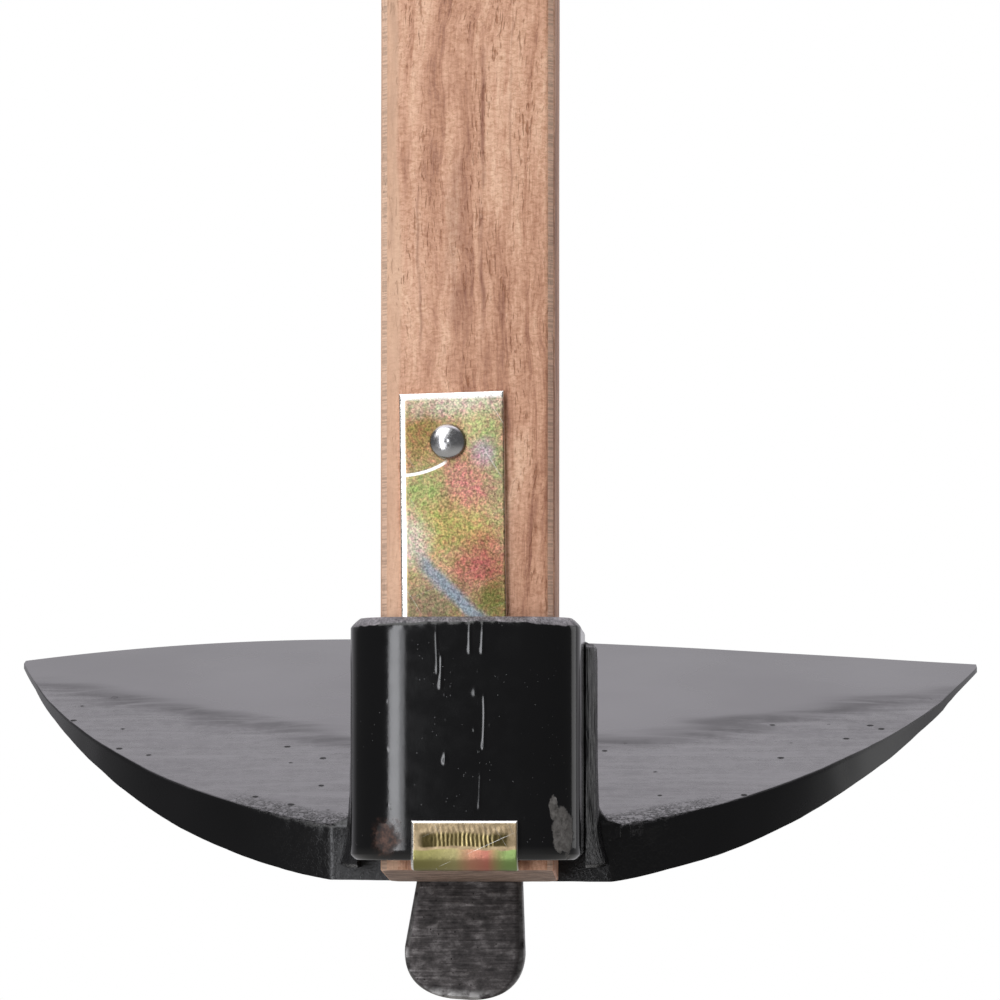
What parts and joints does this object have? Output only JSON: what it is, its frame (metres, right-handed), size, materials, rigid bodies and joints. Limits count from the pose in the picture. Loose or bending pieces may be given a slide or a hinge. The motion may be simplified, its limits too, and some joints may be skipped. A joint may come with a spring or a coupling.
{
  "type": "draw hoe",
  "caption": "Heavy draw hoe with a forged half-moon blade, a welded strap socket, a retaining strip with a nail, an iron wedge and a long oak handle.",
  "frame": {"origin": "centre of the handle's butt face, the free end of the grip", "axes": "+Z along the handle from the head to the butt, +Y from the handle out along the blade to its cutting edge, +X to the right of someone who looks along +Y at the front of the socket"},
  "size_m": [0.228, 0.1853, 1.0744],
  "materials": {
    "oak": "bare, planed, with brown pores and rays",
    "black_paint": "gloss black paint over forging scale",
    "weld_paint": "black paint over a rough weld",
    "chromate": "yellow chromate plating, iridescent",
    "nail_steel": "bright, slightly worn",
    "raw_steel": "dark mill scale, rubbed at the edges"
  },
  "bodies": {
    "root": {"handle": "oak", "blade": "black_paint", "socket_strap": "black_paint", "weld_bead_left": "weld_paint", "weld_bead_right": "weld_paint", "retaining_strip": "chromate", "strip_nail": "nail_steel", "wedge": "raw_steel"}
  },
  "joints": []
}
